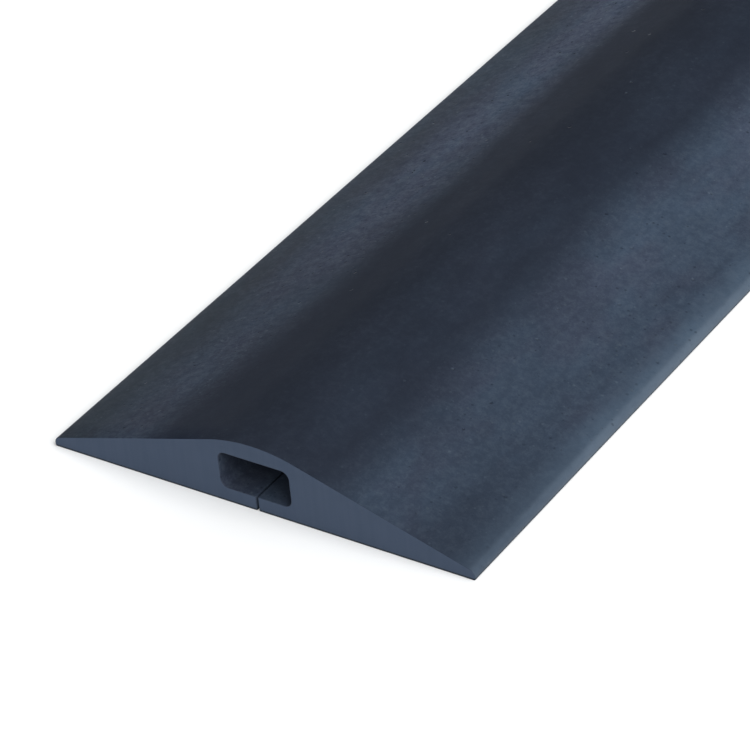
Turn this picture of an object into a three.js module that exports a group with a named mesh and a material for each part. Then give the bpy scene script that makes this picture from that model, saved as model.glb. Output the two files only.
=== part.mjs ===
// Floor cord cover: one length of extruded black rubber stock that lies flat on a floor.
// A low hump with sloping flanks carries one cord in a channel, and a knife slit in
// the underside lets the cord be pressed in from below.
// Millimetres. X runs across the strip, Y along it and Z up from the floor.
// The origin is the middle of the underside.

import * as THREE from "three";

// Stock
const LENGTH = 914.4;
const WIDTH = 76.2;
const HEIGHT = 12;

// Outside of the section
const CREST_RADIUS = 26.5;
const EDGE_THICKNESS = 1.6;
const EDGE_CORNER_RADIUS = 1.3;

// Cord channel and the slit that leads into it
const CHANNEL_WIDTH = 12.7;
const CHANNEL_HEIGHT = 6.35;
const CHANNEL_CORNER_RADIUS = 1.3;
const FLOOR_THICKNESS = 2.6;
const SLIT_WIDTH = 0.4;

// Facets on each round stretch of the section
const ARC_FACETS = 16;

const QUARTER_TURN = Math.PI / 2;

// Slope of a flank, in radians above the floor: the flank leaves the top of the
// blunt edge and meets the round crest without a corner.
function flankSlope() {
  const rise = EDGE_THICKNESS - (HEIGHT - CREST_RADIUS);
  const run = WIDTH / 2;
  return Math.asin(CREST_RADIUS / Math.hypot(run, rise)) - Math.atan2(rise, run);
}

// The outer outline from one side of the slit, over the crest, to the other side.
function traceOutside(section) {
  const slope = flankSlope();
  const halfWidth = WIDTH / 2;
  const cornerX = halfWidth - EDGE_CORNER_RADIUS;
  const cornerDrop = EDGE_CORNER_RADIUS * (1 - Math.sin(slope)) / Math.cos(slope);
  const cornerZ = EDGE_THICKNESS - cornerDrop;
  const rightTangent = QUARTER_TURN - slope;
  const leftTangent = QUARTER_TURN + slope;

  section.moveTo(SLIT_WIDTH / 2, 0);
  section.lineTo(halfWidth, 0);
  section.absarc(cornerX, cornerZ, EDGE_CORNER_RADIUS, 0, rightTangent);
  section.absarc(0, HEIGHT - CREST_RADIUS, CREST_RADIUS, rightTangent, leftTangent);
  section.absarc(-cornerX, cornerZ, EDGE_CORNER_RADIUS, leftTangent, Math.PI);
  section.lineTo(-halfWidth, 0);
  section.lineTo(-SLIT_WIDTH / 2, 0);
}

// Up through the slit, once round the inside of the channel, and back down.
function traceChannel(section) {
  const radius = CHANNEL_CORNER_RADIUS;
  const cornerX = CHANNEL_WIDTH / 2 - radius;
  const lowZ = FLOOR_THICKNESS + radius;
  const highZ = FLOOR_THICKNESS + CHANNEL_HEIGHT - radius;

  section.lineTo(-SLIT_WIDTH / 2, FLOOR_THICKNESS);
  section.absarc(-cornerX, lowZ, radius, -QUARTER_TURN, -Math.PI, true);
  section.absarc(-cornerX, highZ, radius, Math.PI, QUARTER_TURN, true);
  section.absarc(cornerX, highZ, radius, QUARTER_TURN, 0, true);
  section.absarc(cornerX, lowZ, radius, 0, -QUARTER_TURN, true);
  section.lineTo(SLIT_WIDTH / 2, FLOOR_THICKNESS);
  section.closePath();
}

// The section drawn in X and Z, run along Y and centred on the origin.
function coverGeometry() {
  const section = new THREE.Shape();
  traceOutside(section);
  traceChannel(section);
  const geometry = new THREE.ExtrudeGeometry(section, {
    depth: LENGTH,
    steps: 1,
    bevelEnabled: false,
    curveSegments: ARC_FACETS / 2,
  });
  geometry.rotateX(QUARTER_TURN);
  geometry.translate(0, LENGTH / 2, 0);
  return geometry;
}

const blackRubber = new THREE.MeshStandardMaterial({
  color: 0x2f343d,
  roughness: 0.62,
  metalness: 0,
});

const cordCover = new THREE.Mesh(coverGeometry(), blackRubber);
cordCover.name = "cord_cover";

const group = new THREE.Group();
group.add(cordCover);

export default group;
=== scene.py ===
import math
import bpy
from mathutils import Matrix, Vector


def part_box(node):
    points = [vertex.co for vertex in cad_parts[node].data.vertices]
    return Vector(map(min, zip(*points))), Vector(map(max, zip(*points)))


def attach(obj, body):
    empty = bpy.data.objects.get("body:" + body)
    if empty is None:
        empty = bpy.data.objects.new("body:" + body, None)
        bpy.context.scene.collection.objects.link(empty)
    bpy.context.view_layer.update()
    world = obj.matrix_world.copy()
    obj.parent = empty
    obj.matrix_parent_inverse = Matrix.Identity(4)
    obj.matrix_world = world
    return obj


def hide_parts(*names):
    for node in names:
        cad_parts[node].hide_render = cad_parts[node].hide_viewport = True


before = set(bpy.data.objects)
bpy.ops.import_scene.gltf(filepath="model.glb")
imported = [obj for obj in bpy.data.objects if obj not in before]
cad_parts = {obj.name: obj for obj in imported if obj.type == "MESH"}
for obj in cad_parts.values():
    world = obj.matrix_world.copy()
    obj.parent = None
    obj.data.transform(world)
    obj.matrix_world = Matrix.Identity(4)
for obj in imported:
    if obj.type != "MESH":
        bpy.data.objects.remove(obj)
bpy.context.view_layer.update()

from types import SimpleNamespace
import bpy
import numpy as np
from mathutils import Matrix, Vector

# Rubber strip, its shape
# One length of black rubber pushed through a die: a low round hump with straight flanks,
# a cord channel along the middle and a knife slit below it. It lies loose on the floor.
MM = 0.001
low, high = (np.array(corner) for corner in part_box("cord_cover"))
WIDTH = high[0] - low[0]
HEIGHT = high[2]
CREST_RADIUS = 26.5 * MM
EDGE_THICKNESS = 1.6 * MM
EDGE_CORNER_RADIUS = 1.3 * MM
EDGE_FOOT_RADIUS = 0.35 * MM
CHANNEL_WIDTH = 12.7 * MM
CHANNEL_HEIGHT = 6.35 * MM
CHANNEL_CORNER_RADIUS = 1.3 * MM
FLOOR_THICKNESS = 2.6 * MM
SLIT_WIDTH = 0.4 * MM
SLIT_CORNER_RADIUS = 0.15 * MM
ARC_STEPS = 12
SIDE_SPACING = 1.6 * MM


def rounded_outline(corners, radii):
    """Closed outline with every corner turned into an arc. At each corner the arc's centre lies on
    the bisector of its two sides, at radius over the sine of half the angle, and the arc runs
    between the two points where the circle touches the sides."""
    before = np.roll(corners, 1, axis=0) - corners
    after = np.roll(corners, -1, axis=0) - corners
    before /= np.linalg.norm(before, axis=1)[:, None]
    after /= np.linalg.norm(after, axis=1)[:, None]
    half = np.arccos((before * after).sum(1)) / 2
    bisector = (before + after) / np.linalg.norm(before + after, axis=1)[:, None]
    centre = corners + bisector * (radii / np.sin(half))[:, None]
    reach = (radii / np.tan(half))[:, None]
    first = corners + before * reach - centre
    last = corners + after * reach - centre
    sweep = (math.pi - 2 * half)[:, None, None]
    t = np.linspace(0, 1, ARC_STEPS + 1)[None, :, None]
    spoke = np.sin((1 - t) * sweep) * first[:, None] + np.sin(t * sweep) * last[:, None]
    return (centre[:, None] + spoke / np.sin(sweep)).reshape(-1, 2)


def with_spacing(outline, spacing):
    """The same closed outline, with each side cut into equal steps no longer than the spacing."""
    side = np.roll(outline, -1, axis=0) - outline
    steps = np.ceil(np.linalg.norm(side, axis=1) / spacing).astype(int)
    index = np.repeat(np.arange(len(outline)), steps)
    share = (np.arange(len(index)) - np.repeat(np.cumsum(steps) - steps, steps)) / steps[index]
    return outline[index] + share[:, None] * side[index]


def flank_slope():
    """Angle of the flank's line, which passes the edge's top and touches the crest's circle."""
    rise = EDGE_THICKNESS - (HEIGHT - CREST_RADIUS)
    run = WIDTH / 2
    return math.asin(CREST_RADIUS / math.hypot(run, rise)) - math.atan2(rise, run)


def cover_section():
    """The strip's section in X and Z, anticlockwise: the right half's corners and their mirror
    images, down through the slit and round the channel."""
    half = WIDTH / 2
    peak = EDGE_THICKNESS + half * math.tan(flank_slope())
    roof = FLOOR_THICKNESS + CHANNEL_HEIGHT
    slit, wall = SLIT_WIDTH / 2, CHANNEL_WIDTH / 2
    outside = [(slit, 0, SLIT_CORNER_RADIUS), (half, 0, EDGE_FOOT_RADIUS)]
    outside += [(half, EDGE_THICKNESS, EDGE_CORNER_RADIUS)]
    inside = [(wall, roof, CHANNEL_CORNER_RADIUS), (wall, FLOOR_THICKNESS, CHANNEL_CORNER_RADIUS)]
    inside += [(slit, FLOOR_THICKNESS, SLIT_CORNER_RADIUS)]
    mirrored = [[(-x, z, r) for x, z, r in reversed(part)] for part in (outside, inside)]
    path = np.array(outside + [(0, peak, CREST_RADIUS)] + mirrored[0] + mirrored[1] + inside)
    return with_spacing(rounded_outline(path[:, :2], path[:, 2]), SIDE_SPACING)


STATION_SPACING = 4 * MM
CUT_RADIUS = 0.1 * MM
CUT_STEPS = 4


def cover_stations():
    """Places along the strip and how far the section is drawn in there. Between the ends the steps
    are even, and at each cut end a quarter circle takes the skin round into the cut."""
    turn = np.linspace(0, math.pi / 2, CUT_STEPS + 1)
    inset = CUT_RADIUS * (1 - np.sin(turn))
    past = CUT_RADIUS * (1 - np.cos(turn))
    count = round((high[1] - low[1]) / STATION_SPACING)
    middle = np.linspace(low[1] + CUT_RADIUS, high[1] - CUT_RADIUS, count + 1)[1:-1]
    y = np.concatenate([low[1] + past, middle, high[1] - past[::-1]])
    return y, np.concatenate([inset, np.zeros(len(middle)), inset[::-1]])


WAVE_COUNT = 7


def waves(x, y, longest, shortest, seed):
    """A smooth random height between 0 and 1: sine waves of falling length, each with its own
    heading and phase and as high as it is long, summed and brought into that range."""
    random = np.random.default_rng(seed)
    length = np.geomspace(longest, shortest, WAVE_COUNT)
    heading = random.uniform(-0.5, 0.5, len(length))
    phase = random.uniform(0, 2 * math.pi, len(length))
    total = sum(
        wave * np.sin(2 * math.pi * (y * np.cos(turn) + x * np.sin(turn)) / wave + start)
        for wave, turn, start in zip(length, heading, phase)
    )
    return 0.5 + 0.5 * total / length.sum()


SINK = 0.04 * MM
SINK_WAVES = (160 * MM, 24 * MM)
RIPPLE = 0.12 * MM
RIPPLE_WAVES = (210 * MM, 30 * MM)
RIPPLE_BAND = 6 * MM


def cover_grid():
    """The section carried along the strip, one ring for each station. The skin sinks and the thin
    edges draw in by slow waves, as extruded rubber does."""
    section = cover_section()
    step = np.roll(section, -1, axis=0) - np.roll(section, 1, axis=0)
    inward = np.stack([-step[:, 1], step[:, 0]], 1) / np.linalg.norm(step, axis=1)[:, None]
    y, inset = cover_stations()
    ring = section[None] + inset[:, None, None] * inward[None]
    x, z = ring[..., 0], ring[..., 1]
    along = np.repeat(y[:, None], len(section), axis=1)
    faces_up = (inward[:, 1] < -0.5) & (section[:, 1] > EDGE_THICKNESS / 2)
    in_channel = (np.abs(section[:, 0]) < CHANNEL_WIDTH / 2) & (section[:, 1] < HEIGHT * 0.9)
    z = z - SINK * waves(x, along, *SINK_WAVES, seed=5) * (faces_up & ~in_channel)
    towards_edge = np.clip((np.abs(x) - WIDTH / 2) / RIPPLE_BAND + 1, 0, 1)
    ripple = waves(np.sign(x) * WIDTH, along, *RIPPLE_WAVES, seed=11)
    x = x - np.sign(x) * towards_edge**2 * RIPPLE * ripple
    return np.stack([x, along, z], 2)


def cover_faces(rings, around):
    """Four-sided faces between neighbouring rings, and one flat face over each cut end."""
    ring, spot = np.meshgrid(np.arange(rings - 1), np.arange(around), indexing="ij")
    here, beside = ring * around + spot, ring * around + (spot + 1) % around
    skin = np.stack([here, here + around, beside + around, beside], 2).reshape(-1, 4)
    near_cut = list(range(around))
    far_cut = list(range(rings * around - 1, (rings - 1) * around - 1, -1))
    return skin.tolist() + [near_cut, far_cut]


grid = cover_grid()
rings, around = grid.shape[:2]
mesh = bpy.data.meshes.new("rubber_strip")
mesh.from_pydata(grid.reshape(-1, 3).tolist(), [], cover_faces(rings, around))
is_cut = np.arange(len(mesh.polygons)) >= len(mesh.polygons) - 2
mesh.polygons.foreach_set("material_index", is_cut.astype(np.int32))
mesh.polygons.foreach_set("use_smooth", ~is_cut)
mesh.update()
strip = bpy.data.objects.new("rubber_strip", mesh)
bpy.context.scene.collection.objects.link(strip)
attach(strip, "root")
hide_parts("cord_cover")

# Rubber strip, its finish
# Black rubber with a slate cast. The crest is left dark and smoother, and the flanks are painted
# lighter in a mottled grey, which is painted light, over fine grain, pits, grit and nicks. The
# knife leaves both ends paler and duller.


def node_group(name, inputs, outputs):
    """An empty shader group with the given number inputs (name and value) and outputs (name)."""
    group = bpy.data.node_groups.new(name, "ShaderNodeTree")
    for label, value in inputs:
        socket = group.interface.new_socket(label, in_out="INPUT", socket_type="NodeSocketFloat")
        socket.default_value = value
    for label in outputs:
        group.interface.new_socket(label, in_out="OUTPUT", socket_type="NodeSocketFloat")
    return group, group.nodes.new("NodeGroupInput"), group.nodes.new("NodeGroupOutput")


def add(tree, kind, sockets=None, **settings):
    """A node with its settings, and each named socket given a value or linked to an output."""
    node = tree.nodes.new("ShaderNode" + kind)
    for name, value in settings.items():
        setattr(node, name, value)
    for name, value in (sockets or {}).items():
        if isinstance(value, bpy.types.NodeSocket):
            tree.links.new(value, node.inputs[name])
        else:
            node.inputs[name].default_value = value
    return node


def math_node(tree, operation, first, second=0.5):
    """One sum with one or two numbers, such as their difference or the first one's size."""
    return add(tree, "Math", {0: first, 1: second}, operation=operation).outputs[0]


def plus(tree, first, second):
    """Both numbers added."""
    return math_node(tree, "ADD", first, second)


def times(tree, first, *others):
    """All the numbers multiplied together, from the first to the last."""
    for other in others:
        first = math_node(tree, "MULTIPLY", first, other)
    return first


def map_range(tree, value, low_in, high_in, low_out=0.0, high_out=1.0, smooth=True):
    """The value carried from one range into another and held at its ends, with a smooth start
    and finish or in a straight line."""
    sockets = {"From Min": low_in, "From Max": high_in, "To Min": low_out, "To Max": high_out}
    kind = "SMOOTHSTEP" if smooth else "LINEAR"
    return add(tree, "MapRange", {"Value": value, **sockets}, interpolation_type=kind).outputs[0]


def noise(tree, place, scale, detail=3.0, roughness=0.55):
    """Cloudy noise about 0.5, with its scale in clouds to the metre."""
    sockets = {"Vector": place, "Scale": scale, "Detail": detail, "Roughness": roughness}
    return add(tree, "TexNoise", sockets).outputs["Fac"]


GRAINS_PER_METRE = 330
FLECKS_PER_METRE = 680
CROWDS_PER_METRE = 95
SPOTS_PER_METRE = 950
SPOT_RIM = 1.9
GRIT_SHARE = 0.6
GRIT_RISE = 0.02


def rubber_grain():
    """Pebbled grain, pits and grit. Each cell of a scatter holds at most one round spot, and a
    slow noise decides where the spots crowd. Height is in millimetres, Pits and Grit are 1 at the
    middle of their spots, and Fleck is the grain's own tone around 0.5."""
    inputs = (("Grain height", 0.16), ("Pit depth", 0.05), ("Pit share", 0.40), ("Pit size", 0.12))
    group, given, result = node_group("rubber_grain", inputs, ("Height", "Pits", "Grit", "Fleck"))
    wanted = given.outputs
    place = add(group, "TexCoord").outputs["Object"]
    grain = noise(group, place, GRAINS_PER_METRE, 4.0)
    fleck = noise(group, place, FLECKS_PER_METRE, 3.0, 0.95)
    crowd = map_range(group, noise(group, place, CROWDS_PER_METRE), 0.40, 0.66, 0.20, 2.2)
    cells = add(group, "TexVoronoi", {"Vector": place, "Scale": SPOTS_PER_METRE})
    lottery = add(group, "SeparateColor", {"Color": cells.outputs["Color"]}).outputs
    share = times(group, wanted["Pit share"], crowd)
    size = times(group, wanted["Pit size"],
                 map_range(group, lottery[2], 0.0, 1.0, 0.5, 1.4, smooth=False))
    spot = add(group, "MapRange", {"Value": cells.outputs["Distance"], "From Max": size,
                                   "From Min": times(group, size, SPOT_RIM)}).outputs[0]
    gritty = math_node(group, "LESS_THAN", lottery[1], times(group, share, GRIT_SHARE))
    pits = times(group, spot, math_node(group, "LESS_THAN", lottery[0], share))
    grit = times(group, spot, gritty)
    rise = times(group, math_node(group, "SUBTRACT", grain, 0.5), wanted["Grain height"])
    sunk = math_node(group, "SUBTRACT", rise, times(group, pits, wanted["Pit depth"]))
    height = plus(group, sunk, times(group, grit, GRIT_RISE))
    for label, value in (("Height", height), ("Pits", pits), ("Grit", grit), ("Fleck", fleck)):
        group.links.new(value, result.inputs[label])
    return group


grain_group = rubber_grain()


def foot_painted_shade():
    """Mask of the painted shade, a dark line where the strip meets the floor: at its fullest from
    the floor up to the first height, and gone by the second."""
    inputs = (("Full to", 0.15 * MM), ("Gone by", 0.48 * MM), ("Darkness", 0.92))
    group, given, result = node_group("foot_painted_shade", inputs, ("Mask",))
    place = add(group, "TexCoord").outputs["Object"]
    up = add(group, "SeparateXYZ", {"Vector": place}).outputs["Z"]
    full_to, gone_by, darkness = (given.outputs[label] for label, value in inputs)
    group.links.new(map_range(group, up, full_to, gone_by, darkness, 0.0), result.inputs["Mask"])
    return group


foot_shade_group = foot_painted_shade()
RUBBER_IOR = 1.52


def new_material(name, specular):
    """A material with one Principled shader of rubber's index, and its share of mirror light."""
    material = bpy.data.materials.new(name)
    material.use_nodes = True
    tree = material.node_tree
    tree.nodes.clear()
    surface = tree.nodes.new("ShaderNodeBsdfPrincipled")
    surface.inputs["IOR"].default_value = RUBBER_IOR
    surface.inputs["Specular IOR Level"].default_value = specular
    output = tree.nodes.new("ShaderNodeOutputMaterial")
    tree.links.new(surface.outputs[0], output.inputs[0])
    return material, tree, surface


def mix_colour(tree, share, first, second):
    """The first colour, changed into the second by the share."""
    node = tree.nodes.new("ShaderNodeMix")
    node.data_type = "RGBA"
    for number, value in ((0, share), (6, first), (7, second)):
        if isinstance(value, bpy.types.NodeSocket):
            tree.links.new(value, node.inputs[number])
        else:
            node.inputs[number].default_value = value
    return node.outputs[2]


DRAWN_OUT = (1.0, 0.012, 1.0)
CLOUDS_OUT = (1.0, 0.45, 1.0)
STREAKS_PER_METRE = 900
MOTTLES_PER_METRE = 60
SIDE_REACH = 10 * MM


def skin_places(tree):
    """What the layers of the skin share: a point's place, its X and height, its distance beside
    the middle and from the nearer cut end, and its side, from 0 on the left flank to 1 on the
    right. Streaks are noise drawn out along the strip, and the mottle is a cloudy noise."""
    place = add(tree, "TexCoord").outputs["Object"]
    axes = add(tree, "SeparateXYZ", {"Vector": place}).outputs
    drawn = add(tree, "Mapping", {"Vector": place, "Scale": DRAWN_OUT}).outputs[0]
    cloudy = add(tree, "Mapping", {"Vector": place, "Scale": CLOUDS_OUT}).outputs[0]
    from_middle = math_node(tree, "ABSOLUTE", axes["Y"])
    return SimpleNamespace(
        place=place,
        across=axes["X"],
        up=axes["Z"],
        beside=math_node(tree, "ABSOLUTE", axes["X"]),
        from_end=math_node(tree, "SUBTRACT", high[1], from_middle),
        side=map_range(tree, axes["X"], -SIDE_REACH, SIDE_REACH),
        streaks=noise(tree, drawn, STREAKS_PER_METRE),
        cloudy=cloudy,
        mottle=noise(tree, cloudy, MOTTLES_PER_METRE, 5.0, 0.72),
    )


def by_side(tree, skin, left, right):
    """A number that changes in a straight line from the left flank's to the right flank's."""
    return map_range(tree, skin.side, 0.0, 1.0, left, right, smooth=False)


# Reach, sway and shares of the painted light on the flanks and in the channel.
CREST_REACH = 10.2 * MM
FLANK_REACH = 22.5 * MM
CREST_SHIFT = 1.9 * MM
SWAY = 0.9 * MM
SWAYS_PER_METRE = 28
END_THIN_TO = 15 * MM
END_FULL_FROM = 130 * MM
CORNER_LENGTH = 30 * MM
CORNER_BAND = (20 * MM, 32 * MM)
LEFT_BAND = (-35 * MM, -23 * MM)
RIGHT_BAND = (26 * MM, 31 * MM)
CHANNEL_TOP = FLOOR_THICKNESS + CHANNEL_HEIGHT + 0.3 * MM
CHANNEL_PAINTED_LIGHT = 0.36


def painted_light_mask(tree, skin):
    """How strongly the flanks are painted lighter, which is painted light and also makes the skin
    duller. It grows with the distance from the crest's swaying line and is multiplied by each
    share listed, which thin it towards the cut ends, on the right flank and along the outer edges.
    A trace stays on the crest, and an even share lightens the channel's inside, also painted
    light."""
    off_crest = math_node(tree, "ABSOLUTE", plus(tree, skin.across, CREST_SHIFT))
    sway = map_range(tree, noise(tree, skin.place, SWAYS_PER_METRE, 2.0), 0.3, 0.7, -SWAY, SWAY)
    painted_light = map_range(tree, plus(tree, off_crest, sway), CREST_REACH, FLANK_REACH)
    at_end = by_side(tree, skin, left=0.47, right=0.62)
    far_in = by_side(tree, skin, left=1.14, right=0.93)
    corner = times(tree, map_range(tree, skin.from_end, 0.0, CORNER_LENGTH, 0.5, 0.0),
                   map_range(tree, skin.across, *CORNER_BAND))
    shares = (
        map_range(tree, skin.from_end, END_THIN_TO, END_FULL_FROM, at_end, far_in),
        by_side(tree, skin, left=1.0, right=0.69),
        math_node(tree, "SUBTRACT", 1.0, corner),
        map_range(tree, skin.across, *LEFT_BAND, 0.42, 1.0),
        map_range(tree, skin.across, *RIGHT_BAND, 1.0, 0.86),
        plus(tree, map_range(tree, skin.mottle, 0.32, 0.68, 0.70, 1.14),
             map_range(tree, skin.streaks, 0.3, 0.7, -0.05, 0.05)),
    )
    painted_light = times(tree, painted_light, *shares)
    painted_light = math_node(tree, "MAXIMUM", painted_light, map_range(tree, skin.mottle, 0.35, 0.68, 0.0, 0.10))
    in_channel = times(tree, math_node(tree, "LESS_THAN", skin.up, CHANNEL_TOP),
                       math_node(tree, "LESS_THAN", skin.beside, CHANNEL_WIDTH * 0.6))
    return math_node(tree, "MAXIMUM", painted_light, times(tree, in_channel, CHANNEL_PAINTED_LIGHT))


# Tones of the black across the hump, set to its shading: painted shade.
CREST_BLACK = (0.0160, 0.0190, 0.0280, 1)
LEFT_EDGE = (0.0135, 0.0175, 0.0215, 1)
LEFT_SHOULDER = (0.0106, 0.0142, 0.0248, 1)
RIGHT_SHOULDER = (0.0130, 0.0162, 0.0255, 1)
TO_LEFT_SHOULDER = (-36 * MM, -22 * MM)
TO_CREST = (-11 * MM, -3 * MM)
TO_RIGHT_SHOULDER = (2 * MM, 9 * MM)


def painted_shade_tone(tree, skin):
    """The black below the painted light, in four tones that follow one another from left to right.
    The tones copy the shading across the hump, which is painted shade.
    """
    tone = LEFT_EDGE
    bands = (TO_LEFT_SHOULDER, TO_CREST, TO_RIGHT_SHOULDER)
    for band, following in zip(bands, (LEFT_SHOULDER, CREST_BLACK, RIGHT_SHOULDER)):
        tone = mix_colour(tree, map_range(tree, skin.across, *band), tone, following)
    return tone


# Greys of the painted light on the flanks.
FLANK_VIOLET = (0.0560, 0.0640, 0.0960, 1)
FLANK_SLATE = (0.0540, 0.0760, 0.1120, 1)
TINTS_PER_METRE = 110


def painted_light_tone(tree, skin):
    """The painted light's grey, between violet and slate by a noise, and more slate on the right.
    """
    patch = map_range(tree, noise(tree, skin.cloudy, TINTS_PER_METRE), 0.34, 0.66)
    tint = plus(tree, patch, by_side(tree, skin, left=-0.25, right=0.25))
    return mix_colour(tree, tint, FLANK_VIOLET, FLANK_SLATE)


# Where the edges are painted pale: painted highlight.
EDGE_HIGHLIGHT_BAND = (32.5 * MM, 37.6 * MM)
EDGE_HIGHLIGHT_LENGTH = 34 * MM


def edge_highlight_mask(tree, skin):
    """How strongly the edges are painted pale, a painted highlight: more towards the rim, on the
    right flank, away from the cut ends and where the mottle is strong."""
    towards_rim = map_range(tree, skin.beside, *EDGE_HIGHLIGHT_BAND, 0.0, 0.72)
    off_cut = map_range(tree, skin.from_end, 0.0, EDGE_HIGHLIGHT_LENGTH, 0.46, 1.0)
    patchy = map_range(tree, skin.mottle, 0.35, 0.65, 0.66, 1.12)
    return times(tree, towards_rim, by_side(tree, skin, left=0.2, right=1.0), off_cut, patchy)


PIT_BLACK = (0.0060, 0.0090, 0.0150, 1)
GRIT_GREY = (0.0900, 0.1100, 0.1350, 1)
NICKS_PER_METRE = 190
NICK_RIM = 0.072
NICK_RAG = 0.03
NICK_DEPTH = 0.12
NICK_SHOWS = 0.32


def skin_nicks(tree, skin, fleck):
    """Small nicks and the tone of each. A nick is a spot about a seed of a wide scatter, with a
    rim made ragged by the flecks, and a draw makes it lighter or darker than the skin."""
    scatter = add(tree, "TexVoronoi", {"Vector": skin.place, "Scale": NICKS_PER_METRE})
    rag = map_range(tree, fleck, 0.3, 0.7, -NICK_RAG, NICK_RAG, smooth=False)
    nicks = map_range(tree, plus(tree, scatter.outputs["Distance"], rag), NICK_RIM, NICK_RIM * 0.2)
    draw = add(tree, "SeparateColor", {"Color": scatter.outputs["Color"]}).outputs[0]
    return nicks, mix_colour(tree, math_node(tree, "LESS_THAN", draw, 0.5), GRIT_GREY, PIT_BLACK)


# Greys of the painted highlight on the edges and their rim.
EDGE_HIGHLIGHT_GREY = (0.0600, 0.0850, 0.1180, 1)
RIM_HIGHLIGHT_GREY = (0.0830, 0.1030, 0.1310, 1)
# Black of the painted shade along the floor.
FOOT_SHADE_BLACK = (0.0060, 0.0080, 0.0100, 1)
RIM_BAND = (36.6 * MM, 37.7 * MM)
STREAK_HEIGHT = 0.004


def skin_material():
    """The die's skin in layers, each mixed over the last by its mask: the black in tones of
    painted shade, the painted light on the flanks, the painted highlight on the edges and their
    rim, flecks, pits and grit, nicks, and the painted shade of the line at the floor. The painted
    light's mask also makes the skin duller, and streaks, grain and nicks give it its height."""
    material, tree, surface = new_material("rubber_skin", 0.05)
    skin = skin_places(tree)
    # Painted light: the mask by which the flanks and the channel's inside are lightened, which
    # also dulls them.
    painted_light = painted_light_mask(tree, skin)
    # Painted highlight: the edges and their rim are painted pale.
    edge_highlight = edge_highlight_mask(tree, skin)
    rim_highlight = times(tree, edge_highlight, map_range(tree, skin.beside, *RIM_BAND))
    # The black's tones are painted shade, and the grey mixed over them is painted light.
    colour = mix_colour(tree, painted_light, painted_shade_tone(tree, skin), painted_light_tone(tree, skin))
    colour = mix_colour(tree, edge_highlight, colour, EDGE_HIGHLIGHT_GREY)
    colour = mix_colour(tree, rim_highlight, colour, RIM_HIGHLIGHT_GREY)
    grain = add(tree, "Group", node_tree=grain_group).outputs
    showing = map_range(tree, painted_light, 0.0, 1.0, 0.06, 1.0, smooth=False)
    speckled = times(tree, showing, by_side(tree, skin, left=2.1, right=1.3))
    worn = map_range(tree, grain["Fleck"], 0.45, 0.75, 0.0, 0.42, smooth=False)
    dull = map_range(tree, grain["Fleck"], 0.25, 0.45, 0.30, 0.0, smooth=False)
    layers = (
        (dull, 1.0, PIT_BLACK),
        (grain["Pits"], 0.65, PIT_BLACK),
        (worn, 1.0, GRIT_GREY),
        (grain["Grit"], 0.45, GRIT_GREY),
    )
    for mask, strength, tone in layers:
        colour = mix_colour(tree, times(tree, mask, times(tree, speckled, strength)), colour, tone)
    nicks, nick_tone = skin_nicks(tree, skin, grain["Fleck"])
    colour = mix_colour(tree, times(tree, nicks, NICK_SHOWS), colour, nick_tone)
    # Painted shade: a dark line along the floor.
    foot_shade = add(tree, "Group", {"Gone by": 0.62 * MM}, node_tree=foot_shade_group).outputs["Mask"]
    colour = mix_colour(tree, foot_shade, colour, FOOT_SHADE_BLACK)
    tree.links.new(colour, surface.inputs["Base Color"])
    tree.links.new(map_range(tree, painted_light, 0.0, 1.0, 0.32, 0.60), surface.inputs["Roughness"])
    height = plus(tree, times(tree, skin.streaks, STREAK_HEIGHT), grain["Height"])
    height = times(tree, height, showing)
    height = math_node(tree, "SUBTRACT", height, times(tree, nicks, NICK_DEPTH))
    bump = add(tree, "Bump", {"Strength": 1.0, "Distance": MM, "Height": height})
    tree.links.new(bump.outputs[0], surface.inputs["Normal"])
    return material


CUT_DARK = (0.0355, 0.0512, 0.0825, 1)
CUT_LIGHT = (0.0430, 0.0600, 0.0955, 1)
CUT_CLOUDS_PER_METRE = 160
MARKS_PER_METRE = 1300
MARK_SLANT = 0.35
MARK_HEIGHT = 0.005


def cut_material():
    """The knife's cut: duller, finely torn, with shallow marks from the blade's way down. Its tone
    lies between two greys by a noise, and the marks are a noise drawn out on the slant."""
    material, tree, surface = new_material("rubber_cut", 0.2)
    place = add(tree, "TexCoord").outputs["Object"]
    slanted = add(tree, "Mapping", {"Vector": place, "Rotation": (0, MARK_SLANT, 0),
                                    "Scale": (1, 1, 0.05)}).outputs[0]
    marks = noise(tree, slanted, MARKS_PER_METRE)
    cloud = noise(tree, place, CUT_CLOUDS_PER_METRE)
    torn = {"Grain height": 0.03, "Pit depth": 0.02, "Pit share": 0.15}
    grain = add(tree, "Group", torn, node_tree=grain_group).outputs
    # Painted shade: a dark line along the cut's foot at the floor.
    foot_shade = add(tree, "Group", node_tree=foot_shade_group).outputs["Mask"]
    colour = mix_colour(tree, cloud, CUT_DARK, CUT_LIGHT)
    colour = mix_colour(tree, foot_shade, colour, FOOT_SHADE_BLACK)
    tree.links.new(colour, surface.inputs["Base Color"])
    tree.links.new(map_range(tree, marks, 0.3, 0.7, 0.68, 0.78), surface.inputs["Roughness"])
    height = plus(tree, times(tree, marks, MARK_HEIGHT), grain["Height"])
    bump = add(tree, "Bump", {"Strength": 1.0, "Distance": MM, "Height": height})
    tree.links.new(bump.outputs[0], surface.inputs["Normal"])
    return material


strip.data.materials.append(skin_material())
strip.data.materials.append(cut_material())

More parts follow.
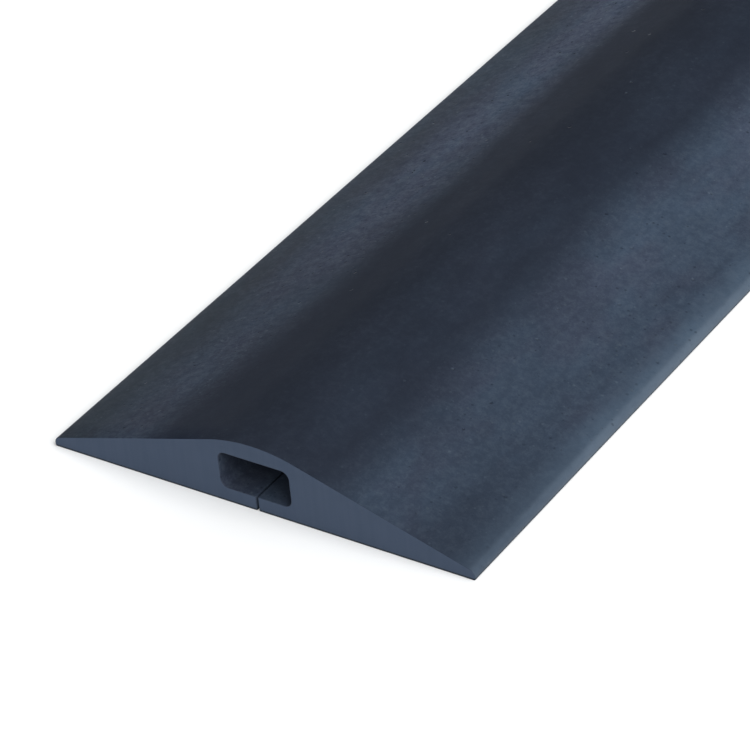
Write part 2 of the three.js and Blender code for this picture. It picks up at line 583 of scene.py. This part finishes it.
# Studio
# A plain pale floor, soft lamps well outside the view, and a camera at the photograph's
# viewing angle that looks at the near end of the strip.
FLOOR_SIZE = 40.0
FLOOR_WHITE = (0.95, 0.90, 0.87, 1)
STUDIO_WHITE = (0.90, 0.96, 1.0)
AIR_STRENGTH = 0.17
floor_mesh = bpy.data.meshes.new("studio_floor")
side = FLOOR_SIZE / 2
floor_mesh.from_pydata([(-side, -side, 0), (side, -side, 0), (side, side, 0), (-side, side, 0)],
                       [], [(0, 1, 2, 3)])
floor = bpy.data.objects.new("studio_floor", floor_mesh)
bpy.context.scene.collection.objects.link(floor)
paint, _, paint_surface = new_material("floor_paint", 0.2)
paint_surface.inputs["Base Color"].default_value = FLOOR_WHITE
paint_surface.inputs["Roughness"].default_value = 0.9
floor_mesh.materials.append(paint)

world = bpy.data.worlds.new("studio_air")
world.use_nodes = True
air = world.node_tree.nodes["Background"].inputs
air["Color"].default_value = (*STUDIO_WHITE, 1)
air["Strength"].default_value = AIR_STRENGTH
bpy.context.scene.world = world


def facing(azimuth, elevation):
    """Unit vector towards a place in the sky. Azimuth 0 lies towards -Y and 90 towards +X."""
    a, e = math.radians(azimuth), math.radians(elevation)
    return Vector((math.sin(a) * math.cos(e), -math.cos(a) * math.cos(e), math.sin(e)))


def add_lamp(name, azimuth, elevation, spread, strength):
    """A soft lamp far away, which shines from that azimuth and elevation over a wide angle."""
    lamp = bpy.data.lights.new(name, "SUN")
    lamp.energy = strength
    lamp.angle = math.radians(spread)
    lamp.color = STUDIO_WHITE
    holder = bpy.data.objects.new(name, lamp)
    holder.rotation_euler = facing(azimuth, elevation).to_track_quat("Z", "Y").to_euler()
    bpy.context.scene.collection.objects.link(holder)


add_lamp("right_lamp", azimuth=80, elevation=45, spread=50, strength=3.2)
add_lamp("front_lamp", azimuth=25, elevation=30, spread=60, strength=1.5)
add_lamp("back_lamp", azimuth=160, elevation=55, spread=40, strength=0.5)

CAMERA_AZIMUTH = 36.30
CAMERA_ELEVATION = 34.19
CAMERA_ROLL = -6.0
CAMERA_DISTANCE = 543.4 * MM
CAMERA_LENS = 175.17
SENSOR_WIDTH = 36
AIM_SIDE = 17.35 * MM
AIM_UP = 20.25 * MM
back = facing(CAMERA_AZIMUTH, CAMERA_ELEVATION)
level = Vector((-back.y, back.x, 0)).normalized()
turn = Matrix.Rotation(math.radians(CAMERA_ROLL), 3, back)
right = turn @ level
up = back.cross(right)
camera_data = bpy.data.cameras.new("camera")
camera_data.lens = CAMERA_LENS
camera_data.sensor_width = SENSOR_WIDTH
camera = bpy.data.objects.new("camera", camera_data)
near_end = Vector((0, low[1], 0))
place = near_end + right * AIM_SIDE + up * AIM_UP + back * CAMERA_DISTANCE
camera.matrix_world = Matrix((
    (right.x, up.x, back.x, place.x),
    (right.y, up.y, back.y, place.y),
    (right.z, up.z, back.z, place.z),
    (0, 0, 0, 1),
))
bpy.context.scene.collection.objects.link(camera)
bpy.context.scene.camera = camera
bpy.context.scene.view_settings.view_transform = "Standard"
